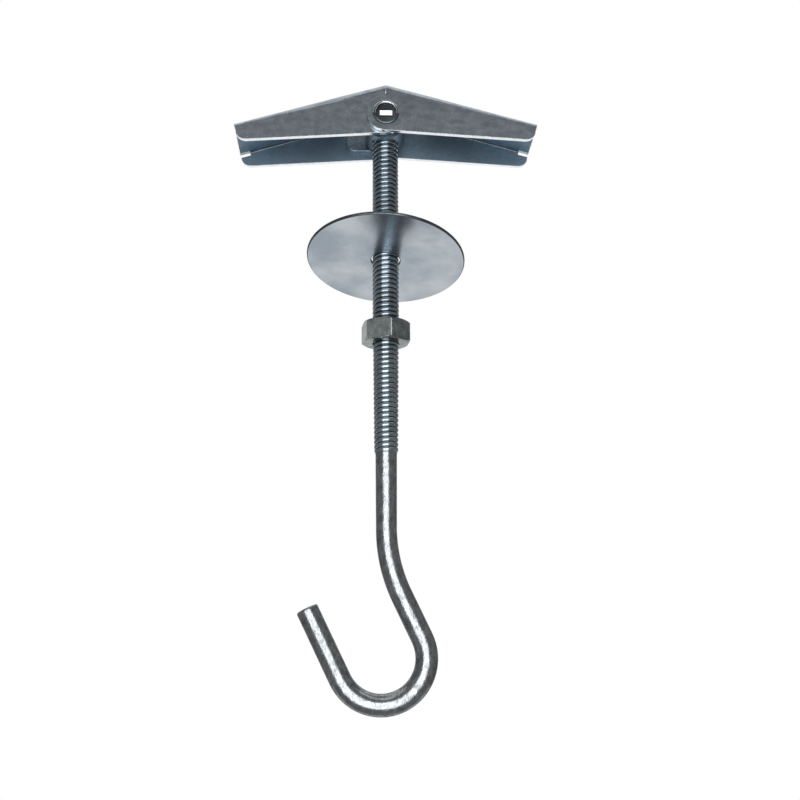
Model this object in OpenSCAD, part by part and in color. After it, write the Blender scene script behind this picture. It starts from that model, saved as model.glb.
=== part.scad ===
// Swag hook: an open C hook on a threaded bolt, with a spring toggle, a loose ceiling washer and a lock nut.
// The origin is on the bolt's axis, level with the tips of the spread wings, where they rest on the ceiling panel.
// The hook opens towards -X, and the two wings lie along X.

/* [Hook and bolt] */
// Outside diameter of the thread
thread_d = 6; // [5.5:0.1:6.5]
// Outside diameter of the shallower thread on the last stretch above the shank
tail_d = 5.4; // [5.1:0.1:5.6]
// Diameter of the wire of the shank and the hook
wire_d = 4.8; // [4.5:0.1:5]
// From the pivot up to the bolt's top end
bolt_top = 7.5; // [6:0.5:9]
// From the pivot down to where the shallower thread starts
tail_drop = 50.5; // [49:0.5:52]
// From the pivot down to the end of the thread
thread_drop = 78; // [76:1:82]
// From the pivot down to the centre of the hook's bowl
bowl_drop = 121.5; // [119:0.1:126]
// Sideways offset of the bowl's centre from the bolt's axis
bowl_offset = -1.2; // [-2:0.1:0]
// Radius of the bowl along the wire's centre
bowl_r = 9.6; // [8.5:0.1:10.5]
// Lean of the arm that joins the bowl to the shank
back_lean = 25.6; // [22:0.2:28]
// Radius of the bend between that arm and the shank
neck_r = 33.6; // [28:0.2:36]
// Lean of the open arm
front_lean = 26; // [22:0.2:28]
// Length of the open arm's straight stretch
front_len = 16.2; // [14:0.2:18]

/* [Wings] */
// From the pivot out to the wing's tip
wing_reach = 34.8; // [33:0.2:37]
// Width of a wing across its two flanges
wing_w = 15.1; // [15:0.1:16]
// Thickness of the wings' sheet
sheet = 1.1; // [1:0.05:1.2]
// Gap between the flanges of the two wings where they overlap
nest_gap = 0.1; // [0.08:0.01:0.15]
// Outer radius of the bend between web and flange
bend_r = 1.5; // [1.2:0.1:1.8]
// Height of the web's inner end above the pivot
web_top = 7.7; // [7.5:0.1:8]
// Slope of the web
web_slope = 16.6; // [16:0.2:17.2]
// Slope of the flanges' lower edge
foot_slope = 3.7; // [3:0.1:4.2]
// Radius of the round ears at the pivot
ear_r = 4.4; // [4.3:0.1:4.6]
// Radius of the flanges' lower corner at the tip
tip_r = 2.4; // [1.8:0.1:2.6]
// Reach of the stop tongue on each inner ear
tongue_reach = 9.2; // [8:0.2:9.6]

/* [Toggle nut and spring] */
// Diameter of the toggle nut's barrel
barrel_d = 9.2; // [8.8:0.1:9.4]
// Length of the barrel
barrel_len = 8.4; // [8:0.1:8.6]
// Diameter of the pivot pins on the barrel's ends
pin_d = 5.2; // [4.8:0.1:5.3]
// Diameter of the pins' swaged heads
head_d = 6; // [5.7:0.1:6.4]
// Diameter of the spring's wire
spring_wire = 0.8; // [0.7:0.05:0.9]

/* [Washer and lock nut] */
// Outside diameter of the ceiling washer
washer_d = 36; // [32:1:38]
// Diameter of its hole
washer_hole = 7.6; // [7.5:0.1:8]
// Thickness of the washer
washer_t = 0.8; // [0.7:0.05:1]
// From the pivot down to the washer's centre
washer_drop = 32.6; // [30:0.1:34]
// Tilt of the loose washer, front edge up
washer_pitch = 13; // [0:0.1:16]
// Tilt of the loose washer, left edge up
washer_roll = 3.8; // [0:0.1:6]
// Width of the lock nut across its flats
nut_af = 10; // [9.8:0.1:11]
// Thickness of the lock nut
nut_t = 4.8; // [4.5:0.1:5.5]
// From the pivot down to the lock nut's top face
nut_drop = 47.9; // [47:0.1:48.5]
// Turn of the lock nut about the bolt
nut_turn = 11; // [0:1:59]

/* [Hidden] */
$fn = 96;

zinc = [0.70, 0.72, 0.74];
zinc_dark = [0.45, 0.48, 0.52];
spring_steel = [0.60, 0.60, 0.58];

thread_play = 0.05;      // radial room between the bolt and what is threaded on it
pin_play = 0.05;         // radial room between a pin and an ear
end_chamfer = 0.6;       // on the bolt's top end
tip_chamfer = 0.4;       // on the hook's free end
long = 100;              // more than any part, for cutting tools

// The wing's outline, in a frame with the pivot at its origin and the tip towards +X
web_in = 0.3;                                            // where the flange ends at the apex
tip_top = [wing_reach, web_top - (wing_reach - web_in) * tan(web_slope)];
foot_n = [sin(foot_slope), cos(foot_slope)];             // up from the lower edge
end_n = [-cos(web_slope), sin(web_slope)];               // in from the end edge
foot_at = -ear_r + tip_r;
end_at = tip_top * end_n + tip_r;
corner_det = foot_n.x * end_n.y - foot_n.y * end_n.x;
tip_c = [(foot_at * end_n.y - foot_n.y * end_at) / corner_det, (foot_n.x * end_at - foot_at * end_n.x) / corner_det];
apex_r = 1.6;                                            // hollow corner between the apex and the ear
apex_c = [web_in - apex_r, sqrt(pow(ear_r + apex_r, 2) - pow(web_in - apex_r, 2))];
tongue_top = 1.65;
tongue_foot = -2.85;
tongue_r = (tongue_top - tongue_foot) / 2;

pivot_z = tip_r - tip_c.y;                               // the tips' lowest points are at z = 0
wing_shift = (sheet + nest_gap) / 2;                     // each wing stands this far off centre, so that they nest
inner_w = wing_w - 2 * sheet;
ear_face = wing_w / 2 + wing_shift;                      // outer face of the outer ears
bowl_z = pivot_z - bowl_drop;

// A round wire from one point to another in the XZ plane, run on a little at both ends
module wire_line(from, to, r, run_on = 0) {
    run = to - from;
    translate([from.x, 0, from.y]) rotate([0, atan2(run.x, run.y), 0])
        translate([0, 0, -run_on]) cylinder(r = r, h = norm(run) + 2 * run_on);
}

// A round wire bent along an arc in the XZ plane, its angles counted from +X towards +Z
module wire_arc(centre, radius, from, to, r) {
    translate([centre.x, 0, centre.y]) rotate([90, 0, 0]) rotate([0, 0, from])
        rotate_extrude(angle = to - from) translate([radius, 0]) circle(r = r);
}

// The bent wire below the thread, in a frame with the bowl's centre at its origin
module hook_wire() {
    wire_r = wire_d / 2;
    bent_r = wire_r + 0.01;                      // bending swells the wire by a hair
    run_on = 0.3;                                // each straight stretch reaches this far into its bends
    back_foot = bowl_r * [cos(back_lean), sin(back_lean)];
    front_foot = bowl_r * [-cos(front_lean), -sin(front_lean)];
    neck_x = neck_r * (1 - cos(back_lean)) - bowl_offset;
    back_top = [neck_x, back_foot.y + (back_foot.x - neck_x) / tan(back_lean)];
    neck_top = back_top.y + neck_r * sin(back_lean);
    thread_end = bowl_drop - thread_drop;
    wire_line([-bowl_offset, neck_top], [-bowl_offset, thread_end], wire_r, run_on);
    wire_arc([neck_r - bowl_offset, neck_top], neck_r, 180, 180 + back_lean, bent_r);
    wire_line(back_foot, back_top, wire_r, run_on);
    wire_arc([0, 0], bowl_r, front_lean - 180, back_lean, bent_r);
    translate([front_foot.x, 0, front_foot.y]) rotate([0, -front_lean, 0]) rotate_extrude() polygon([
        [0, -run_on], [wire_r, -run_on], [wire_r, front_len - tip_chamfer],
        [wire_r - tip_chamfer, front_len], [0, front_len]
    ]);
}

module hook_bolt() {
    color(zinc) union() {
        translate([0, 0, pivot_z]) rotate_extrude() polygon([
            [0, -thread_drop], [tail_d / 2, -thread_drop], [tail_d / 2, -tail_drop], [thread_d / 2, -tail_drop],
            [thread_d / 2, bolt_top - end_chamfer], [thread_d / 2 - end_chamfer, bolt_top], [0, bolt_top]
        ]);
        translate([bowl_offset, 0, bowl_z]) hook_wire();
    }
}

// Points along an arc, its angles counted from +X towards +Y, without the first few if some are skipped
function arc(centre, r, from, to, steps, skip = 0) =
    [for (i = [skip:steps]) centre + r * [cos(from + (to - from) * i / steps), sin(from + (to - from) * i / steps)]];

// The side view of one flange, with its round ear
module flange_outline() {
    apex_turn = atan2(apex_c.y, apex_c.x);
    polygon(concat(
        [[web_in, web_top], tip_top],
        arc(tip_c, tip_r, -web_slope, -90 - foot_slope, 12),
        arc([0, 0], ear_r, 270 - foot_slope, apex_turn, 32),
        arc(apex_c, apex_r, apex_turn - 180, 0, 10, 1)
    ));
}

// The stop tongue that reaches past the pivot on the inner ear, rooted between the pin's hole and the ear's rim
module tongue_outline() {
    end_c = [tongue_r - tongue_reach, tongue_foot + tongue_r];
    polygon(concat([[-2.2, tongue_foot], [-3.2, tongue_top]], arc(end_c, tongue_r, 90, 270, 16)));
}

// Stands a side view up in the XZ plane, from one Y to another
module upright(from, to) {
    translate([0, to, 0]) rotate([90, 0, 0]) linear_extrude(to - from) children();
}

// The folded sheet's section across the wing: a U, open below, with its web at the top
module channel_section() {
    fold_r = bend_r - sheet;
    difference() {
        union() {
            translate([-wing_w / 2, -long / 2]) square([wing_w, long / 2 - bend_r]);
            translate([bend_r - wing_w / 2, -bend_r]) square([wing_w - 2 * bend_r, bend_r]);
            for (side = [-1, 1]) translate([side * (wing_w / 2 - bend_r), -bend_r]) circle(r = bend_r);
        }
        translate([-inner_w / 2, -long]) square([inner_w, long - sheet - fold_r]);
        translate([fold_r - inner_w / 2, -bend_r - 1]) square([inner_w - 2 * fold_r, bend_r + 1 - sheet]);
        for (side = [-1, 1]) translate([side * (inner_w / 2 - fold_r), -sheet - fold_r]) circle(r = fold_r);
    }
}

// Puts its children on the web's outer face: X runs down the slope from the apex and Z stands off the web
module on_web() {
    translate([web_in, 0, web_top]) rotate([0, web_slope, 0]) children();
}

// One wing with its tip towards +X and its outer flange towards -Y
module wing() {
    notch_len = 10.4;        // the bolt and the other wing's tongue swing through here
    notch_r = 1;
    relief_len = 2.4;        // the slit between web and flange at the tip
    relief_in = 5.95;
    relief_z = [-1.9, -0.9]; // below the web's outer face
    tongue_inset = 0.04;     // the tongue is coined this much thinner than the sheet on each face
    web_len = (wing_reach - web_in) / cos(web_slope);
    difference() {
        union() {
            intersection() {
                upright(-wing_w / 2, wing_w / 2) flange_outline();
                on_web() rotate([90, 0, 90]) translate([0, 0, -long / 2]) linear_extrude(long) channel_section();
            }
            upright(wing_w / 2 - sheet + tongue_inset, wing_w / 2 - tongue_inset) tongue_outline();
        }
        on_web() translate([0, 0, -sheet - 0.6]) linear_extrude(sheet + 1.6) {
            translate([-5, -inner_w / 2]) square([5 + notch_len - notch_r, inner_w]);
            translate([0, notch_r - inner_w / 2]) square([notch_len, inner_w - 2 * notch_r]);
            for (side = [-1, 1]) translate([notch_len - notch_r, side * (inner_w / 2 - notch_r)]) circle(r = notch_r);
        }
        for (side = [-1, 1]) on_web()
            translate([web_len - relief_len, side > 0 ? relief_in : -relief_in - 2, relief_z.x])
                cube([relief_len + 1, 2, relief_z.y - relief_z.x]);
        rotate([90, 0, 0]) cylinder(d = pin_d + 2 * pin_play, h = long, center = true);
    }
}

module right_wing() {
    color(zinc_dark) translate([0, -wing_shift, pivot_z]) wing();
}

module left_wing() {
    color(zinc_dark) rotate([0, 0, 180]) translate([0, -wing_shift, pivot_z]) wing();
}

module toggle_nut() {
    rim_t = 0.3;             // how far a swaged head stands off the ear
    rim_gap = 0.05;
    cup_d = 4.6;             // hollow in the head's face
    cup_depth = 0.8;
    bar = [2.8, 0.5, 1];     // the staking tool leaves this bar in the hollow
    head_end = ear_face + rim_gap + rim_t;
    color(zinc) translate([0, 0, pivot_z]) difference() {
        union() {
            rotate([90, 0, 0]) cylinder(d = barrel_d, h = barrel_len, center = true);
            for (side = [-1, 1]) rotate([side * 90, 0, 0]) {
                difference() {
                    union() {
                        cylinder(d = pin_d, h = head_end);
                        translate([0, 0, head_end - rim_t]) cylinder(d = head_d, h = rim_t);
                    }
                    translate([0, 0, head_end - cup_depth]) cylinder(d = cup_d, h = cup_depth + 1);
                }
                translate([-bar.x / 2, -bar.z / 2, head_end - cup_depth - 0.1]) cube([bar.x, bar.z, bar.y + 0.1]);
            }
        }
        translate([0, 0, -long / 2]) cylinder(d = thread_d + 2 * thread_play, h = long);
    }
}

// One wire: a coil on each pin, a leg from each under the left web, and a bow under the right web that joins them
module toggle_spring() {
    wire_r = spring_wire / 2;
    coil_y = barrel_len / 2 + 0.25 + wire_r;
    coil_r = pin_d / 2 + 0.25 + wire_r;
    leg_r = wire_r - 0.04;   // the straight stretches are drawn a hair thinner than the coils and bends
    leg_end = [-13.4, 2.1];
    bow_end = [12.6, 2.3];
    color(spring_steel) translate([0, 0, pivot_z]) {
        for (side = [-1, 1]) translate([0, side * coil_y, 0]) {
            rotate([90, 0, 0]) rotate_extrude() translate([coil_r, 0]) circle(r = wire_r);
            wire_line([-0.5, coil_r], leg_end, leg_r);
            wire_line([0.5, coil_r], bow_end, leg_r);
            translate([bow_end.x, 0, bow_end.y]) sphere(r = wire_r);
        }
        translate([bow_end.x, 0, bow_end.y]) rotate([90, 0, 0]) cylinder(r = leg_r, h = 2 * coil_y, center = true);
    }
}

module ceiling_washer() {
    edge = 0.2;              // the rim's broken edges
    color(zinc) translate([0, 0, pivot_z - washer_drop]) rotate([0, washer_roll, 0]) rotate([-washer_pitch, 0, 0])
        rotate_extrude() polygon([
            [washer_hole / 2, -washer_t / 2], [washer_d / 2 - edge, -washer_t / 2],
            [washer_d / 2, edge - washer_t / 2], [washer_d / 2, washer_t / 2 - edge],
            [washer_d / 2 - edge, washer_t / 2], [washer_hole / 2, washer_t / 2]
        ]);
}

module lock_nut() {
    corner_r = nut_af / 2 / cos(30);
    land_r = nut_af / 2 - 0.1;                  // flat ring left by the chamfer
    bevel = (corner_r + 0.5 - land_r) * tan(30);
    color(zinc) translate([0, 0, pivot_z - nut_drop - nut_t]) rotate([0, 0, nut_turn - 30]) difference() {
        intersection() {
            cylinder(r = corner_r, h = nut_t, $fn = 6);
            rotate_extrude() polygon([
                [0, 0], [land_r, 0], [corner_r + 0.5, bevel],
                [corner_r + 0.5, nut_t - bevel], [land_r, nut_t], [0, nut_t]
            ]);
        }
        translate([0, 0, -1]) cylinder(d = thread_d + 2 * thread_play, h = nut_t + 2);
    }
}

hook_bolt();
toggle_nut();
toggle_spring();
left_wing();
right_wing();
ceiling_washer();
lock_nut();
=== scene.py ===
# Looks of a zinc-plated swag hook: a hook bolt with its thread, a spring toggle, a washer and a lock nut

import math

import bmesh
import bpy
from mathutils import Matrix, Vector


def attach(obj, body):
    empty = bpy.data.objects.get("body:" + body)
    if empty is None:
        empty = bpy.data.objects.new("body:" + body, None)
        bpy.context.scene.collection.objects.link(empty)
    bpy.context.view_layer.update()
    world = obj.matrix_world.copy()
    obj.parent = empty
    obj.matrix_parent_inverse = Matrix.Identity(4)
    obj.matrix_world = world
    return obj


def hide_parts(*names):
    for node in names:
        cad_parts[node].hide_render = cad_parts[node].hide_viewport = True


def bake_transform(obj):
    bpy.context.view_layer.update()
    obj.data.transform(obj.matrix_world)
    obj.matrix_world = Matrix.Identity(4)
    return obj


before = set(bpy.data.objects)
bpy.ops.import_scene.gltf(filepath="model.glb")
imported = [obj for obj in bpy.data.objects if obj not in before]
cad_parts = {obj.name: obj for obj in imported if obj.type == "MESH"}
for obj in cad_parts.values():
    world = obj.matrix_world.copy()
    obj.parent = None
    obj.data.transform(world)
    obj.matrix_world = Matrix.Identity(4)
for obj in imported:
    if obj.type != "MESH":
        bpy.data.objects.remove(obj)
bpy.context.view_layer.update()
scene = bpy.context.scene
scene.view_settings.view_transform = "Standard"
mm = 0.001
pivotHeight = 6.46413 * mm  # the wings' pivot above the ceiling panel
print("stage: frame loaded")


# Helpers for node trees

def setOrLink(tree, socket, value):
    if isinstance(value, bpy.types.NodeSocket):
        tree.links.new(value, socket)
    else:
        socket.default_value = value


def addNode(tree, kind, inputs=None, **properties):
    node = tree.nodes.new(kind)
    for key, value in properties.items():
        setattr(node, key, value)
    for key, value in (inputs or {}).items():
        setOrLink(tree, node.inputs[key], value)
    return node


def compute(tree, operation, *values):
    node = tree.nodes.new("ShaderNodeMath")
    node.operation = operation
    for socket, value in zip(node.inputs, values):
        setOrLink(tree, socket, value)
    return node.outputs[0]


def geometryTree(name, sockets):
    tree = bpy.data.node_groups.new(name, "GeometryNodeTree")
    tree.interface.new_socket("Geometry", in_out="INPUT", socket_type="NodeSocketGeometry")
    tree.interface.new_socket("Geometry", in_out="OUTPUT", socket_type="NodeSocketGeometry")
    for label, kind in sockets:
        tree.interface.new_socket(label, in_out="INPUT", socket_type="NodeSocket" + kind)
    return tree, tree.nodes.new("NodeGroupInput").outputs, tree.nodes.new("NodeGroupOutput")


def bakeTree(source, tree, values, name, smoothAngle=40):
    modifier = source.modifiers.new(tree.name, "NODES")
    modifier.node_group = tree
    identifiers = {s.name: s.identifier for s in tree.interface.items_tree if s.in_out == "INPUT"}
    for label, value in values.items():
        modifier[identifiers[label]] = value
    graph = bpy.context.evaluated_depsgraph_get()
    mesh = bpy.data.meshes.new_from_object(source.evaluated_get(graph), depsgraph=graph)
    source.modifiers.remove(modifier)
    bpy.data.objects.remove(source)
    mesh.name = name
    mesh.shade_smooth()
    mesh.set_sharp_from_angle(angle=math.radians(smoothAngle))
    return newObject(name, mesh)


def newObject(name, mesh):
    made = bpy.data.objects.new(name, mesh)
    scene.collection.objects.link(made)
    return made


# Zinc finishes: each is a metal whose colour clouds over, with a fine grain that also roughens it

finishes = {
    "threadZinc": {"pale": (0.36, 0.415, 0.46), "dull": (0.23, 0.275, 0.31), "cloud": 260, "grain": 2400,
                   "stretch": (1, 1, 1), "roughness": (0.14, 0.26), "relief": 0.010, "rim": 0.6},
    "wireZinc": {"pale": (0.40, 0.425, 0.44), "dull": (0.17, 0.18, 0.19), "cloud": 900, "grain": 2600,
                 "stretch": (1, 1, 0.6), "roughness": (0.12, 0.32), "relief": 0.08, "rim": 0.4},
    "flangeZinc": {"pale": (0.42, 0.475, 0.52), "dull": (0.26, 0.30, 0.34), "cloud": 700, "grain": 2300,
                   "stretch": (0.7, 1, 1), "roughness": (0.22, 0.32), "relief": 0.010, "rim": 1.0},
    # painted shade: a darker, bluer copy of the flank zinc for the inside of the wings' channels and the pin barrel
    "shadedZinc": {"pale": (0.24, 0.33, 0.41), "dull": (0.17, 0.235, 0.29), "cloud": 150, "grain": 1500,
                    "stretch": (0.5, 1, 1), "roughness": (0.50, 0.60), "relief": 0.004, "rim": 0.7},
    # the wings' sheared edges, made near-white as a painted highlight; also a painted highlight on the nut's corners
    # and the pin heads' upper lips
    "edgeGlint": {"pale": (0.93, 0.94, 0.95), "dull": (0.78, 0.81, 0.84), "cloud": 500, "grain": 2600,
                "stretch": (1, 0.3, 1), "roughness": (0.18, 0.28), "relief": 0.006, "rim": 1.0},
    "washerZinc": {"pale": (0.53, 0.57, 0.61), "dull": (0.33, 0.38, 0.43), "cloud": 90, "grain": 1900,
                   "stretch": (1, 1, 1), "roughness": (0.215, 0.235), "relief": 0.001, "rim": 1.0, "grainShare": 0.08},
    # painted shade: a near-black zinc for the pin heads' hollows and lower halves, the washer's rim and hole lip and
    # the wings' inner folds
    "shadowZinc": {"pale": (0.15, 0.17, 0.185), "dull": (0.06, 0.068, 0.075), "cloud": 300, "grain": 2200,
                  "stretch": (1, 1, 1), "roughness": (0.26, 0.38), "relief": 0.01, "rim": 0.6},
    "nutZinc": {"pale": (0.34, 0.37, 0.375), "dull": (0.17, 0.19, 0.195), "cloud": 700, "grain": 1800,
                "stretch": (1, 1, 0.7), "roughness": (0.23, 0.28), "relief": 0.005, "rim": 0.8},
    "pinZinc": {"pale": (0.58, 0.63, 0.67), "dull": (0.32, 0.36, 0.40), "cloud": 500, "grain": 2200,
                "stretch": (1, 1, 1), "roughness": (0.10, 0.20), "relief": 0.006, "rim": 1.0},
    "springSteel": {"pale": (0.60, 0.60, 0.58), "dull": (0.34, 0.34, 0.33), "cloud": 400, "grain": 2600,
                    "stretch": (1, 1, 1), "roughness": (0.20, 0.32), "relief": 0.006, "rim": 1.0},
}


def metalFinish(name):
    look = finishes[name]
    material = bpy.data.materials.new(name)
    material.use_nodes = True
    tree = material.node_tree
    shader = tree.nodes["Principled BSDF"]
    place = addNode(tree, "ShaderNodeTexCoord").outputs["Object"]
    laid = addNode(tree, "ShaderNodeMapping", {"Vector": place, "Scale": look["stretch"]}).outputs[0]
    cloud = addNode(tree, "ShaderNodeTexNoise", {"Vector": laid, "Scale": look["cloud"], "Detail": 3.0,
                                                 "Roughness": 0.55}).outputs[0]
    grain = addNode(tree, "ShaderNodeTexNoise", {"Vector": laid, "Scale": look["grain"], "Detail": 2.0,
                                                 "Roughness": 0.6}).outputs[0]
    share = look.get("grainShare", 0.4)
    blend = compute(tree, "ADD", compute(tree, "MULTIPLY", cloud, 1 - share), compute(tree, "MULTIPLY", grain, share))
    ramp = addNode(tree, "ShaderNodeValToRGB", {"Fac": blend})
    ramp.color_ramp.elements[0].position = 0.36
    ramp.color_ramp.elements[0].color = (*look["dull"], 1)
    ramp.color_ramp.elements[1].position = 0.62
    ramp.color_ramp.elements[1].color = (*look["pale"], 1)
    low, high = look["roughness"]
    worn = addNode(tree, "ShaderNodeMapRange", {"Value": grain, "From Min": 0.3, "From Max": 0.7,
                                                "To Min": high, "To Max": low})
    bump = addNode(tree, "ShaderNodeBump", {"Strength": 1.0, "Distance": look["relief"] * mm, "Height": blend})
    shader.inputs["Metallic"].default_value = 1.0
    shader.inputs["Specular Tint"].default_value = (look["rim"],) * 3 + (1,)  # dims the metal where it curves away
    tree.links.new(ramp.outputs[0], shader.inputs["Base Color"])
    tree.links.new(worn.outputs[0], shader.inputs["Roughness"])
    tree.links.new(bump.outputs[0], shader.inputs["Normal"])
    return material


materials = {name: metalFinish(name) for name in finishes}


# painted shade in the thread's roots: how far the crest attribute darkens the base colour, and the shade colour
roots = {"crest": (0.2, 0.9), "darkest": 0.55, "rootShade": (0.03, 0.035, 0.04, 1)}


def shadeThreadRoots(material):
    # painted shade: the thread's roots and flanks are darkened towards a near-black shade colour, from the attribute
    # that the thread's tree stores
    tree = material.node_tree
    shader = tree.nodes["Principled BSDF"]
    ramp = shader.inputs["Base Color"].links[0].from_socket
    crest = addNode(tree, "ShaderNodeAttribute", attribute_name="crest").outputs["Fac"]
    low, high = roots["crest"]
    shade = addNode(tree, "ShaderNodeMapRange", {"Value": crest, "From Min": low, "From Max": high,
                                                 "To Min": roots["darkest"], "To Max": 1.0}).outputs[0]
    mixed = addNode(tree, "ShaderNodeMix", {0: shade, 6: roots["rootShade"], 7: ramp}, data_type="RGBA")
    tree.links.new(mixed.outputs[2], shader.inputs["Base Color"])


shadeThreadRoots(materials["threadZinc"])
print("stage: zinc finishes mixed")


# Camera, from the photograph's own perspective

camera = {"place": (-6.03, -251.61, -121.63), "pitch": 13.933, "yaw": 2.076, "roll": -0.346, "lens": 52.71}


def addCamera():
    pitch, yaw, roll = (math.radians(camera[k]) for k in ("pitch", "yaw", "roll"))
    ahead = Vector((math.sin(yaw) * math.cos(pitch), math.cos(yaw) * math.cos(pitch), math.sin(pitch)))
    right = Vector((math.cos(yaw), -math.sin(yaw), 0))
    up = right.cross(ahead)
    sideways = right * math.cos(roll) + up * math.sin(roll)
    upwards = up * math.cos(roll) - right * math.sin(roll)
    lens = bpy.data.cameras.new("photoCamera")
    lens.lens, lens.sensor_width = camera["lens"], 36
    lens.clip_start, lens.clip_end = 0.01, 30
    made = newObject("photoCamera", lens)
    turn = Matrix((sideways, upwards, -ahead)).transposed().to_4x4()
    made.matrix_world = Matrix.Translation(Vector(camera["place"]) * mm) @ turn
    scene.camera = made


addCamera()


# Thread: one grid, rolled round the bolt and pushed in between the crests of a right-hand helix

thread = {"top": 7.5, "end": 78, "radius": 3.0, "tailRadius": 2.92, "endRadius": 2.66, "tailDrop": 50.5,
          "wireRadius": 2.28, "pitch": 1.1, "depth": 0.22, "tailDepth": 0.12, "crown": 0.6, "crestShare": 0.3,
          "chamfer": 0.6, "stepsPerPitch": 10, "around": 72}


def threadTree():
    tree, given, result = geometryTree("Rolled Thread", [
        ("Length", "Float"), ("Radius", "Float"), ("Depth", "Float"), ("Tail Length", "Float"),
        ("Tail Radius", "Float"), ("End Radius", "Float"), ("Tail Depth", "Float"), ("Wire Radius", "Float"),
        ("Pitch", "Float"), ("Crown", "Float"), ("Crest Share", "Float"), ("Chamfer", "Float"),
        ("Foot Height", "Float"), ("Rows", "Int"), ("Around", "Int"), ("Finish", "Material")])
    grid = addNode(tree, "GeometryNodeMeshGrid", {"Size X": 1.0, "Size Y": 1.0, "Vertices X": given["Around"],
                                                  "Vertices Y": given["Rows"]})
    where = addNode(tree, "ShaderNodeSeparateXYZ", {0: addNode(tree, "GeometryNodeInputPosition").outputs[0]})
    turn = compute(tree, "ADD", where.outputs[0], 0.5)
    row = compute(tree, "MULTIPLY", compute(tree, "ADD", where.outputs[1], 0.5),
                  compute(tree, "SUBTRACT", given["Rows"], 1.0))
    # rows climb along the helix, and what runs past either end is folded flat there and closed to the axis
    share = compute(tree, "DIVIDE", compute(tree, "SUBTRACT", row, 1.0),
                    compute(tree, "SUBTRACT", given["Rows"], 3.0))
    climb = compute(tree, "SUBTRACT", compute(tree, "MULTIPLY", share, compute(
        tree, "ADD", given["Length"], given["Pitch"])), compute(tree, "MULTIPLY", given["Pitch"], compute(
            tree, "SUBTRACT", 1.0, turn)))
    height = compute(tree, "MINIMUM", compute(tree, "MAXIMUM", climb, 0.0), given["Length"])
    fromMiddle = compute(tree, "ABSOLUTE", compute(tree, "SUBTRACT", share, 0.5))
    inside = compute(tree, "LESS_THAN", fromMiddle, 0.5002)
    phase = compute(tree, "FRACT", compute(tree, "ADD", compute(tree, "SUBTRACT", compute(
        tree, "DIVIDE", height, given["Pitch"]), turn), 10.0))
    off = compute(tree, "SUBTRACT", 0.5, compute(tree, "ABSOLUTE", compute(tree, "SUBTRACT", phase, 0.5)))
    crown = compute(tree, "MULTIPLY", compute(tree, "MULTIPLY", off, off), given["Crown"])
    groove = addNode(tree, "ShaderNodeMapRange", {
        "Value": off, "From Min": given["Crest Share"], "From Max": 0.5}).outputs[0]
    crest = compute(tree, "SUBTRACT", 1.0, groove)
    onTail = addNode(tree, "ShaderNodeMapRange", {
        "Value": compute(tree, "SUBTRACT", height, given["Tail Length"]), "From Min": -0.9 * mm, "From Max": 0.0,
        "To Min": 1.0, "To Max": 0.0}).outputs[0]

    def fromBoth(main, tail):
        return compute(tree, "ADD", given[main], compute(tree, "MULTIPLY", onTail, compute(
            tree, "SUBTRACT", given[tail], given[main])))
    sunk = compute(tree, "ADD", crown, compute(tree, "MULTIPLY", fromBoth("Depth", "Tail Depth"), groove))
    toEnd = compute(tree, "SUBTRACT", 1.0, compute(tree, "DIVIDE", height, given["Tail Length"]))
    slimmer = compute(tree, "MULTIPLY", compute(tree, "SUBTRACT", given["Tail Radius"], given["End Radius"]),
                      compute(tree, "MAXIMUM", toEnd, 0.0))
    radius = compute(tree, "SUBTRACT", fromBoth("Radius", "Tail Radius"), slimmer)
    plain = compute(tree, "SUBTRACT", radius, sunk)
    lead = compute(tree, "ADD", compute(tree, "SUBTRACT", given["Length"], height),
                   compute(tree, "SUBTRACT", given["Radius"], given["Chamfer"]))
    runOut = compute(tree, "ADD", compute(tree, "MULTIPLY", height, 0.45), given["Wire Radius"])
    smallest = compute(tree, "MINIMUM", plain, compute(tree, "MINIMUM", lead, runOut))
    reach = compute(tree, "MULTIPLY", inside, smallest)
    angle = compute(tree, "MULTIPLY", turn, math.tau)
    place = addNode(tree, "ShaderNodeCombineXYZ", {
        0: compute(tree, "MULTIPLY", reach, compute(tree, "COSINE", angle)),
        1: compute(tree, "MULTIPLY", reach, compute(tree, "SINE", angle)),
        2: compute(tree, "ADD", height, given["Foot Height"])})
    stored = addNode(tree, "GeometryNodeStoreNamedAttribute", {
        "Geometry": grid.outputs[0], "Name": "crest", "Value": crest})
    rolled = addNode(tree, "GeometryNodeSetPosition", {"Geometry": stored.outputs[0], "Position": place.outputs[0]})
    joined = addNode(tree, "GeometryNodeMergeByDistance", {"Geometry": rolled.outputs[0], "Distance": 0.0004 * mm})
    real = addNode(tree, "GeometryNodeRealizeInstances", {"Geometry": joined.outputs[0]})
    finished = addNode(tree, "GeometryNodeSetMaterial", {"Geometry": real.outputs[0], "Material": given["Finish"]})
    tree.links.new(finished.outputs[0], result.inputs[0])
    return tree


def addThread():
    length = (thread["top"] + thread["end"]) * mm
    rows = round((length / mm + thread["pitch"]) / thread["pitch"] * thread["stepsPerPitch"]) + 3
    made = bakeTree(newObject("threadSeed", bpy.data.meshes.new("threadSeed")), threadTree(), {
        "Length": length, "Radius": thread["radius"] * mm, "Depth": thread["depth"] * mm,
        "Tail Length": (thread["end"] - thread["tailDrop"]) * mm, "Tail Radius": thread["tailRadius"] * mm,
        "End Radius": thread["endRadius"] * mm,
        "Tail Depth": thread["tailDepth"] * mm, "Wire Radius": (thread["wireRadius"] + 0.02) * mm,
        "Pitch": thread["pitch"] * mm, "Crown": thread["crown"] * mm, "Crest Share": thread["crestShare"],
        "Chamfer": thread["chamfer"] * mm,
        "Foot Height": pivotHeight - thread["end"] * mm, "Rows": rows, "Around": thread["around"] + 1,
        "Finish": materials["threadZinc"]}, "boltThread", 60)
    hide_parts("hook_bolt")
    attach(made, "bolt")


addThread()
print("stage: bolt threaded")


# Wire: a round bar swept along a path, used for the hook and for the toggle's spring

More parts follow.
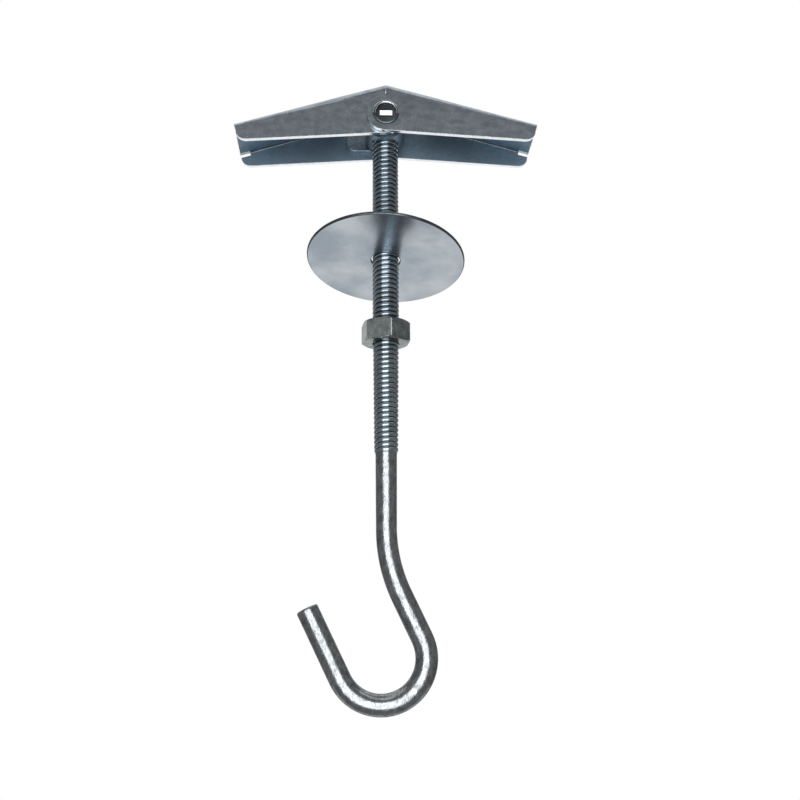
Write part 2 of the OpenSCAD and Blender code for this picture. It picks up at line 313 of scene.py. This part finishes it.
def wireTree():
    tree, given, result = geometryTree("Bent Wire", [("Radius", "Float"), ("Sides", "Int"), ("Finish", "Material")])
    path = addNode(tree, "GeometryNodeMeshToCurve", {"Mesh": given["Geometry"]})
    ring = addNode(tree, "GeometryNodeCurvePrimitiveCircle", {"Resolution": given["Sides"], "Radius": given["Radius"]})
    swell = addNode(tree, "GeometryNodeInputNamedAttribute", {"Name": "swell"}, data_type="FLOAT")
    swept = addNode(tree, "GeometryNodeCurveToMesh", {"Curve": path.outputs[0], "Profile Curve": ring.outputs[0],
                                                      "Scale": swell.outputs[0], "Fill Caps": True})
    real = addNode(tree, "GeometryNodeRealizeInstances", {"Geometry": swept.outputs[0]})
    finished = addNode(tree, "GeometryNodeSetMaterial", {"Geometry": real.outputs[0], "Material": given["Finish"]})
    tree.links.new(finished.outputs[0], result.inputs[0])
    return tree


bentWire = wireTree()


def bendWire(name, points, radius, finish, sides=40, swells=None):
    mesh = bpy.data.meshes.new(name + "Path")
    mesh.from_pydata([Vector(p) * mm for p in points], [(i, i + 1) for i in range(len(points) - 1)], [])
    mesh.attributes.new("swell", "FLOAT", "POINT").data.foreach_set("value", swells or [1.0] * len(points))
    made = bakeTree(newObject(name + "Path", mesh), bentWire, {
        "Radius": radius * mm, "Sides": sides, "Finish": materials[finish]}, name)
    tidy = bmesh.new()
    tidy.from_mesh(made.data)
    bmesh.ops.recalc_face_normals(tidy, faces=tidy.faces)
    tidy.to_mesh(made.data)
    tidy.free()
    return made


hook = {"wireRadius": 2.4, "swells": (0.985, 0.945, 1.0), "shankTop": -77, "bowlDrop": 121.5,
        "bowlOffset": -1.2, "bowlRadius": 9.6,
        "backLean": 25.6, "neckRadius": 33.6, "frontLean": 26, "frontLength": 16.2, "tipChamfer": 0.4, "step": 0.6}


def arcPoints(centre, radius, start, end, step):
    count = max(2, int(abs(math.radians(end - start)) * radius / step))
    turns = [math.radians(start + (end - start) * i / count) for i in range(count + 1)]
    return [(centre[0] + radius * math.cos(t), 0, centre[1] + radius * math.sin(t)) for t in turns]


def straightPoints(start, end, step):
    count = max(1, int(math.dist(start, end) / step))
    return [tuple(a + (b - a) * i / count for a, b in zip(start, end)) for i in range(count + 1)]


def wireSwell(point, neckTop, lean):
    # the wire is drawn a little thinner down the shank and keeps its full size in the hook
    top, thin, full = hook["swells"]
    if point[2] > neckTop:
        return thin + (top - thin) * (point[2] - neckTop) / (pivotHeight / mm + hook["shankTop"] - neckTop)
    bent = (neckTop - point[2]) / (hook["neckRadius"] * math.sin(lean))
    return thin + (full - thin) * min(1, bent)


def addHook():
    pivot = pivotHeight / mm
    lean, front = math.radians(hook["backLean"]), math.radians(hook["frontLean"])
    middle = (hook["bowlOffset"], pivot - hook["bowlDrop"])
    backFoot = (middle[0] + hook["bowlRadius"] * math.cos(lean), middle[1] + hook["bowlRadius"] * math.sin(lean))
    neckX = hook["neckRadius"] * (1 - math.cos(lean))
    backTop = (neckX, backFoot[1] + (backFoot[0] - neckX) / math.tan(lean))
    neckTop = backTop[1] + hook["neckRadius"] * math.sin(lean)
    frontFoot = (middle[0] - hook["bowlRadius"] * math.cos(front), middle[1] - hook["bowlRadius"] * math.sin(front))
    tip = (frontFoot[0] - hook["frontLength"] * math.sin(front), 0, frontFoot[1] + hook["frontLength"] * math.cos(front))
    step = hook["step"]
    points = straightPoints((0, 0, pivot + hook["shankTop"]), (0, 0, neckTop), step)
    points += arcPoints((hook["neckRadius"], neckTop), hook["neckRadius"], 180, 180 + hook["backLean"], step)[1:]
    points += straightPoints((backTop[0], 0, backTop[1]), (backFoot[0], 0, backFoot[1]), step)[1:]
    points += arcPoints(middle, hook["bowlRadius"], hook["backLean"], hook["frontLean"] - 180, step)[1:]
    points += straightPoints((frontFoot[0], 0, frontFoot[1]), tip, step)[1:]
    swells = [wireSwell(point, neckTop, lean) for point in points]
    inward = Vector(points[-2]) - Vector(tip)
    inward.normalize()
    chamfer = hook["tipChamfer"]
    points[-1:] = [tuple(Vector(tip) + inward * chamfer * f) for f in (1.0, 0.45, 0.12, 0)]
    swells[-1:] = [swells[-1] - chamfer * f / hook["wireRadius"] for f in (0, 0.18, 0.5, 0.95)]
    made = bendWire("hookWire", points, hook["wireRadius"], "wireZinc", 56, swells)
    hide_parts("hook_bolt")
    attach(made, "bolt")


addHook()
print("stage: hook bent")


# Toggle spring: a coil round each pin, two legs under the left web and a bow under the right one

spring = {"wireRadius": 0.38, "coilRadius": 3.25, "coilPlace": 4.85, "turnWidth": 0.74,
          "legEnd": (-13.4, 2.1), "bowEnd": (12.6, 2.3), "bowCorner": 1.2, "sides": 16}


def addSpring():
    pivot = pivotHeight / mm
    top = pivot + spring["coilRadius"]
    parts = []
    for side in (-1, 1):
        coil = []
        for i in range(61):
            turn = math.radians(90 + 360 * i / 60)
            coil.append((spring["coilRadius"] * math.cos(turn),
                         side * (spring["coilPlace"] + (i / 60 - 0.5) * spring["turnWidth"]),
                         pivot + spring["coilRadius"] * math.sin(turn)))
        parts.append((f"springCoil{'Front' if side < 0 else 'Back'}", coil, "toggle"))
        y = side * (spring["coilPlace"] + spring["turnWidth"] / 2)
        end = (spring["legEnd"][0], y, pivot + spring["legEnd"][1])
        parts.append((f"springLeg{'Front' if side < 0 else 'Back'}",
                      straightPoints((0.3, y, top), end, 0.5), "left_wing"))
    y = spring["coilPlace"] - spring["turnWidth"] / 2
    bowX, bowZ = spring["bowEnd"][0], pivot + spring["bowEnd"][1]
    corner = spring["bowCorner"]
    slope = (bowZ - top) / bowX
    bow = straightPoints((-0.3, -y, top - 0.3 * slope), (bowX - corner, -y, bowZ - corner * slope), 0.5)
    for side, turns in ((-1, range(-80, 1, 10)), (1, range(0, 81, 10))):
        for turn in turns:
            a = math.radians(turn)
            x = bowX - corner + corner * math.cos(a)
            bow.append((x, side * (y - corner) + corner * math.sin(a), top + x * slope))
    bow += [(p[0], -p[1], p[2]) for p in reversed(bow[:len(bow) - 18])]
    parts.append(("springBow", bow, "right_wing"))
    for name, points, body in parts:
        made = bendWire(name, points, spring["wireRadius"], "springSteel", spring["sides"])
        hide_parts("toggle_spring")
        if body == "toggle":
            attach(made, "toggle")
        else:
            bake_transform(made)


addSpring()
print("stage: spring wound")


# Pressed and turned parts: copies of the CAD solids with their sharp edges broken

broken = {
    "toggle_nut": {"piece": "toggleNut", "body": "toggle", "finish": "pinZinc", "slot": "zinc_bright", "edge": 0.1},
    "left_wing": {"piece": "leftWing", "body": "left_wing", "finish": "flangeZinc", "slot": "zinc_sheet",
                  "edge": 0.09},
    "right_wing": {"piece": "rightWing", "body": "right_wing", "finish": "flangeZinc", "slot": "zinc_sheet",
                   "edge": 0.09},
    "ceiling_washer": {"piece": "ceilingWasher", "body": "washer", "finish": "washerZinc", "slot": "zinc_gloss",
                       "edge": 0.12},
}


pinHead = {"face": 8.5, "lips": (3.0, 2.3), "lipWidth": 0.34, "bar": (1.4, 0.5, 8.2), "barTilt": 17,
           "barRise": -0.2, "hollow": (2.35, 7.6), "barrel": 4.5}


def dressPinHeads(shape):
    # the swaged lips are round, and the staked bar in each hollow leans outwards at its top
    def fromPivot(corner):
        return corner.co.x / mm, (corner.co.z - pivotHeight) / mm, abs(corner.co.y) / mm
    tilt = math.tan(math.radians(pinHead["barTilt"]))
    halfWide, halfHigh, face = pinHead["bar"]
    for corner in shape.verts:
        x, z, y = fromPivot(corner)
        if abs(x) < halfWide + 0.05 and abs(z) < halfHigh + 0.05 and abs(y - face) < 0.05:
            corner.co.y += tilt * z * mm * (1 if corner.co.y > 0 else -1)
            corner.co.z += pinHead["barRise"] * mm
    rims = []
    for edge in shape.edges:
        places = [fromPivot(corner) for corner in edge.verts]
        for lip in pinHead["lips"]:
            if all(abs(y - pinHead["face"]) < 0.05 and abs(math.hypot(x, z) - lip) < 0.03 for x, z, y in places):
                rims.append(edge)
    bmesh.ops.bevel(shape, geom=rims, offset=pinHead["lipWidth"] * mm, segments=4, profile=0.5, affect="EDGES")


washer = {"hole": 3.8, "lip": 3.24, "lipRound": 0.3}


def narrowHole(shape):
    # the hole's lip is rounded over and stands a little closer to the bolt
    flat = max(shape.faces, key=lambda face: face.calc_area())
    rim = [corner for corner in shape.verts if (corner.co - Vector((0, 0, corner.co.z))).length < 5 * mm]
    centre = sum((corner.co for corner in rim), Vector()) / len(rim)
    for corner in rim:
        away = corner.co - centre
        along = flat.normal * away.dot(flat.normal)
        corner.co = centre + along + (away - along) * washer["lip"] / washer["hole"]
    lips = [edge for edge in shape.edges if all(corner in rim for corner in edge.verts)
            and abs((edge.verts[0].co - edge.verts[1].co).dot(flat.normal)) < 0.1 * mm]
    bmesh.ops.bevel(shape, geom=lips, offset=washer["lipRound"] * mm, segments=4, profile=0.5, affect="EDGES")


def keepFlats(mesh):
    # every corner takes the normal of its largest face, so that flats stay flat up to their rounded edges
    normals = [corner.normal.copy() for corner in mesh.vertices]
    largest = [1.5 * mm * mm] * len(normals)
    for face in mesh.polygons:
        for index in face.vertices:
            if face.area > largest[index]:
                largest[index], normals[index] = face.area, face.normal.copy()
    mesh.normals_split_custom_set_from_vertices(normals)


def breakEdges(node):
    look = broken[node]
    shape = bmesh.new()
    shape.from_mesh(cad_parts[node].data)
    bmesh.ops.remove_doubles(shape, verts=shape.verts, dist=0.001 * mm)
    bmesh.ops.dissolve_limit(shape, angle_limit=math.radians(0.6), verts=shape.verts, edges=shape.edges)
    if node == "toggle_nut":
        dressPinHeads(shape)
    if node == "ceiling_washer":
        narrowHole(shape)
    mesh = bpy.data.meshes.new(look["piece"])
    shape.to_mesh(mesh)
    shape.free()
    mesh.materials.clear()
    mesh.materials.append(materials[look["finish"]])
    mesh.shade_smooth()
    made = newObject(look["piece"] + "Sharp", mesh)
    bevel = made.modifiers.new("brokenEdges", "BEVEL")
    bevel.width, bevel.segments = look["edge"] * mm, 3
    bevel.limit_method, bevel.angle_limit = "ANGLE", math.radians(32)
    bevel.use_clamp_overlap = "wing" not in node
    graph = bpy.context.evaluated_depsgraph_get()
    soft = bpy.data.meshes.new_from_object(made.evaluated_get(graph), depsgraph=graph)
    bpy.data.objects.remove(made)
    soft.name = look["piece"]
    keepFlats(soft)
    piece = newObject(look["piece"], soft)
    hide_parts(node)
    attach(piece, look["body"])
    return piece


pieces = {node: breakEdges(node) for node in broken}
print("stage: sharp edges broken")


# Lock nut: a hexagon turned down to a shallow chamfer at both ends, its corners slightly rounded

nut = {"flats": 10.0, "thickness": 4.8, "drop": 47.9, "turn": 11, "bore": 3.03, "land": 5.02, "chamferRise": 0.42,
       "cornerShare": 1.3, "stepsPerFlat": 12, "levels": 5}


def addNut():
    half, corner = nut["flats"] / 2, nut["cornerShare"]
    turns = []
    for flat in range(6):
        for i in range(nut["stepsPerFlat"] + 1):
            turns.append((60 * flat, -30 + corner + (60 - 2 * corner) * i / nut["stepsPerFlat"]))
    hexagon = [half / math.cos(math.radians(own)) for flat, own in turns]
    longest, tall = max(hexagon), nut["thickness"]
    rises = [nut["chamferRise"] * i / nut["levels"] for i in range(nut["levels"] + 1)]
    heights = rises + [tall - rise for rise in reversed(rises)]
    rings = [(0.0, None)] + [(z, min(z, tall - z)) for z in heights] + [(tall, None)]
    base = pivotHeight / mm - nut["drop"] - tall
    points, count = [], len(turns)
    for z, depth in rings:
        for (flat, own), reach in zip(turns, hexagon):
            turn = math.radians(flat + own + nut["turn"])
            if depth is None:
                r = nut["bore"]
            else:
                r = min(reach, nut["land"] + (longest - nut["land"]) * depth / nut["chamferRise"])
            points.append(Vector((r * math.cos(turn), r * math.sin(turn), base + z)) * mm)
    faces = []
    for ring in range(len(rings)):
        for i in range(count):
            j, nextRing = (i + 1) % count, (ring + 1) % len(rings)
            faces.append((ring * count + i, ring * count + j, nextRing * count + j, nextRing * count + i))
    mesh = bpy.data.meshes.new("lockNut")
    mesh.from_pydata(points, [], faces)
    mesh.shade_smooth()
    mesh.set_sharp_from_angle(angle=math.radians(14))
    for name in ("nutZinc", "edgeGlint"):
        mesh.materials.append(materials[name])
    # painted highlight: the rounded corner strips near mid-height take the bright edge finish
    glintCorners = [i for i in range(count) if (i + 1) % (nut["stepsPerFlat"] + 1) == 0]
    for face in mesh.polygons:
        if face.index % count in glintCorners and len(heights) // 2 - 1 < face.index // count <= len(heights) // 2 + 1:
            face.material_index = 1
    made = newObject("lockNut", mesh)
    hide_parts("lock_nut")
    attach(made, "lock_nut")


addNut()
print("stage: nut cut")


# Washer: its rim and the lip of its hole are painted darker than its polished faces, as painted shade

def paintToggle(piece):
    # painted shade: the barrel between the ears takes the darker channel zinc, and the pin heads' hollows, flat rings
    # and lower halves take the near-black zinc; painted highlight: their upper lips' rounded edges take the bright
    # edge finish
    mesh = piece.data
    for name in ("shadowZinc", "shadedZinc", "edgeGlint"):
        mesh.materials.append(materials[name])
    reach, floor = pinHead["hollow"]
    for face in mesh.polygons:
        centre = face.center / mm
        x, y, z = centre.x, abs(centre.y), centre.z - pivotHeight / mm
        square = abs(face.normal.y)
        onBar = y > floor + 0.25 and abs(x) < pinHead["bar"][0] and abs(z - pinHead["barRise"]) < 0.5
        if y < pinHead["barrel"]:
            face.material_index = 2
        elif y > floor and math.hypot(x, z) < pinHead["lips"][0] + 0.05 and not (onBar and square > 0.8):
            wall = square < 0.2 and math.hypot(x, z) < reach
            face.material_index = 1 if square > 0.95 or wall or z < -0.3 else 3


paintToggle(pieces["toggle_nut"])


def paintWasher(piece):
    mesh = piece.data
    mesh.materials.append(materials["shadowZinc"])
    flat = max(mesh.polygons, key=lambda face: face.area).normal.copy()
    for face in mesh.polygons:
        # painted shade: every face not parallel to the washer's flats (rim, hole lip and their rounded edges) takes
        # the near-black zinc
        if abs(face.normal.dot(flat)) < 0.97:
            face.material_index = 1


paintWasher(pieces["ceiling_washer"])


# Wings: the sheared edges shine, painted near-white as a painted highlight, and the inside of the channel is painted
# bluer and duller than the flanks as painted shade

wing = {"width": 15.1, "sheet": 1.1, "bend": 1.5, "shift": 0.6, "webTop": (0.3, 7.7), "slope": 16.6,
        "reach": 34.8, "slitLength": 2.4, "slit": (0.9, 1.9), "ridge": (0.45, 5.8), "apexInward": 0.28,
        "webDepth": 2.5, "twist": 0.4, "settle": (-0.3, 0.38)}


def paintWing(piece, side):
    mesh = piece.data
    for name in ("edgeGlint", "shadedZinc", "shadowZinc"):
        mesh.materials.append(materials[name])
    slope = math.radians(wing["slope"])
    offWeb = Vector((math.sin(slope), 0, math.cos(slope)))
    down = Vector((math.cos(slope), 0, -math.sin(slope)))
    webHeight = offWeb.dot(Vector((wing["webTop"][0], 0, wing["webTop"][1])))
    half = wing["width"] / 2
    for face in mesh.polygons:
        centre = face.center / mm
        place = Vector((side * centre.x, side * centre.y + wing["shift"], centre.z - pivotHeight / mm))
        normal = Vector((side * face.normal.x, side * face.normal.y, face.normal.z))
        outward = normal.y * math.copysign(1, place.y)
        depth = webHeight - place.dot(offWeb)  # below the web's outer face
        inChannel = abs(place.y) < half - wing["sheet"] + 0.1
        if place.x < -2.9:
            face.material_index = 0
            continue
        if depth < wing["bend"] + 0.15:
            cut = place.x > 1 and abs(normal.dot(down)) > 0.45 or (outward < -0.9 and depth < wing["sheet"])
            fold = abs(normal.dot(offWeb)) < 0.97 and abs(outward) < 0.97
            # painted shade: the inner fold takes the near-black zinc and the channel's inside the darker channel zinc
            inner = (3 if fold else 2) if inChannel and depth > wing["sheet"] - 0.3 else 0
            face.material_index = 1 if cut else inner
        # the flanks' outer faces keep the flank zinc, their inner faces take the darker channel zinc as painted shade,
        # and the remaining edges take the bright edge finish as a painted highlight
        elif abs(outward) > 0.96:
            face.material_index = 0 if outward > 0 else 2
        elif place.x < 1 and place.z > 3.8:
            face.material_index = 0
        else:
            face.material_index = 1


def settleWing(piece, side):
    # the webs meet at the ridge; the left one is twisted up at the front and the right one sits flatter
    slope = math.radians(wing["slope"])
    offWeb = Vector((math.sin(slope), 0, math.cos(slope)))
    down = Vector((math.cos(slope), 0, -math.sin(slope)))
    webHeight = offWeb.dot(Vector((wing["webTop"][0], 0, wing["webTop"][1])))
    length = (wing["reach"] - wing["webTop"][0]) / math.cos(slope)
    start = down.dot(Vector((wing["webTop"][0], 0, wing["webTop"][1])))
    top, bottom = wing["slit"]
    for corner in piece.data.vertices:
        point = corner.co / mm
        place = Vector((side * point.x, side * point.y + wing["shift"], point.z - pivotHeight / mm))
        depth, along = webHeight - place.dot(offWeb), place.dot(down) - start
        front = -side * place.y > wing["width"] / 2 - wing["sheet"] - 0.1
        if front and along > length - wing["slitLength"] - 0.3 and top - 0.3 < depth < bottom + 0.3:
            shut = max(0.0, depth - top - 0.05)
            corner.co += Vector((side * offWeb.x, 0, offWeb.z)) * min(shut, bottom - top - 0.05) * mm
        if place.x < wing["ridge"][0] and place.z > wing["ridge"][1]:
            corner.co.x -= side * wing["apexInward"] * mm
        if depth < wing["webDepth"] and place.x > -0.5:
            share = place.x / wing["reach"]
            if side > 0:
                corner.co.z += (wing["settle"][0] * (1 - share) + wing["settle"][1] * share) * mm
            else:
                corner.co.z += wing["twist"] * (0.5 - point.y / wing["width"]) * mm


paintWing(pieces["right_wing"], 1)
paintWing(pieces["left_wing"], -1)
settleWing(pieces["right_wing"], 1)
settleWing(pieces["left_wing"], -1)
print("stage: wings finished")


# Studio: white all round, with grey cards at the front and the sides that only gloss sees, and a wide low lamp

studio = {"ambient": 0.55, "floorDrop": 0.45, "floorReach": 3.0, "paperReach": (0.5, 1.1), "paperGlow": 0.35}
greyCards = {"radius": 0.65, "low": -0.445, "high": 0.80, "openBehind": 40, "grey": 0.27, "steps": 56,
             "floorBack": 0.15}
lamps = {
    "frontLamp": {"place": (-0.05, -0.40, -0.185), "aim": (-0.05, 0, -0.185), "size": (0.42, 0.49),
                  "power": 2.0},
}


def whiteToCamera(tree, plain, white):
    rays = addNode(tree, "ShaderNodeLightPath").outputs
    seen = compute(tree, "MAXIMUM", rays["Is Camera Ray"], compute(
        tree, "MAXIMUM", rays["Is Glossy Ray"], rays["Is Transmission Ray"]))
    return addNode(tree, "ShaderNodeMixShader", {0: seen, 1: plain, 2: white}).outputs[0]


def addStudio():
    world = bpy.data.worlds.new("whiteStudio")
    scene.world = world
    world.use_nodes = True
    tree = world.node_tree
    plain = tree.nodes["Background"]
    plain.inputs["Color"].default_value = (1, 1, 1, 1)
    plain.inputs["Strength"].default_value = studio["ambient"]
    white = addNode(tree, "ShaderNodeBackground", {"Color": (1, 1, 1, 1), "Strength": 1.0})
    tree.links.new(whiteToCamera(tree, plain.outputs[0], white.outputs[0]), tree.nodes["World Output"].inputs[0])

    floorMaterial = bpy.data.materials.new("paleFloor")
    floorMaterial.use_nodes = True
    tree = floorMaterial.node_tree
    tree.nodes.remove(tree.nodes["Principled BSDF"])
    paper = addNode(tree, "ShaderNodeBsdfDiffuse", {"Color": (0.86, 0.86, 0.86, 1)})
    glow = addNode(tree, "ShaderNodeEmission", {"Color": (1, 1, 1, 1), "Strength": studio["paperGlow"]})
    lit = addNode(tree, "ShaderNodeAddShader", {0: paper.outputs[0], 1: glow.outputs[0]})
    away = addNode(tree, "ShaderNodeVectorMath", {0: addNode(tree, "ShaderNodeTexCoord").outputs["Object"]},
                   operation="LENGTH").outputs["Value"]
    near, far = studio["paperReach"]
    faded = addNode(tree, "ShaderNodeMapRange", {"Value": away, "From Min": near, "From Max": far}).outputs[0]
    white = addNode(tree, "ShaderNodeEmission", {"Color": (1, 1, 1, 1), "Strength": 1.0})
    seen = addNode(tree, "ShaderNodeMixShader", {0: faded, 1: lit.outputs[0], 2: white.outputs[0]})
    tree.links.new(whiteToCamera(tree, paper.outputs[0], seen.outputs[0]), tree.nodes["Material Output"].inputs[0])
    floorMesh = bpy.data.meshes.new("paleFloor")
    wide, low = studio["floorReach"], -studio["floorDrop"]
    floorMesh.from_pydata([(-wide, -wide, low), (wide, -wide, low), (wide, wide, low), (-wide, wide, low)], [],
                          [(0, 1, 2, 3)])
    floorMesh.materials.append(floorMaterial)
    floor = newObject("paleFloor", floorMesh)

    cardMaterial = bpy.data.materials.new("greyCards")
    cardMaterial.use_nodes = True
    tree = cardMaterial.node_tree
    tree.nodes.remove(tree.nodes["Principled BSDF"])
    grey = addNode(tree, "ShaderNodeEmission", {"Color": (1, 1, 1, 1), "Strength": greyCards["grey"]})
    tree.links.new(grey.outputs[0], tree.nodes["Material Output"].inputs[0])
    count = greyCards["steps"]
    turns = [math.radians(90 + greyCards["openBehind"] + (360 - 2 * greyCards["openBehind"]) * i / count)
             for i in range(count + 1)]
    points = [(math.cos(t) * greyCards["radius"], math.sin(t) * greyCards["radius"], z)
              for z in (greyCards["low"], greyCards["high"]) for t in turns]
    cardMesh = bpy.data.meshes.new("greyCards")
    reach, low, back = greyCards["radius"], greyCards["low"], greyCards["floorBack"]
    points += [(-reach, -reach, low), (reach, -reach, low), (reach, back, low), (-reach, back, low)]
    sides = [(i, i + 1, count + 2 + i, count + 1 + i) for i in range(count)]
    cardMesh.from_pydata(points, [], sides + [tuple(range(2 * count + 2, 2 * count + 6))])
    cardMesh.materials.append(cardMaterial)
    cards = newObject("greyCards", cardMesh)
    cards.visible_camera = cards.visible_diffuse = cards.visible_shadow = cards.visible_transmission = False

    for name, look in lamps.items():
        light = bpy.data.lights.new(name, "AREA")
        light.shape, light.energy = "RECTANGLE", look["power"]
        light.size, light.size_y = look["size"]
        lamp = newObject(name, light)
        lamp.location = look["place"]
        lamp.rotation_euler = (Vector(look["aim"]) - Vector(look["place"])).to_track_quat("-Z", "Y").to_euler()
        lamp.visible_camera = False


addStudio()
print("stage: studio lit")
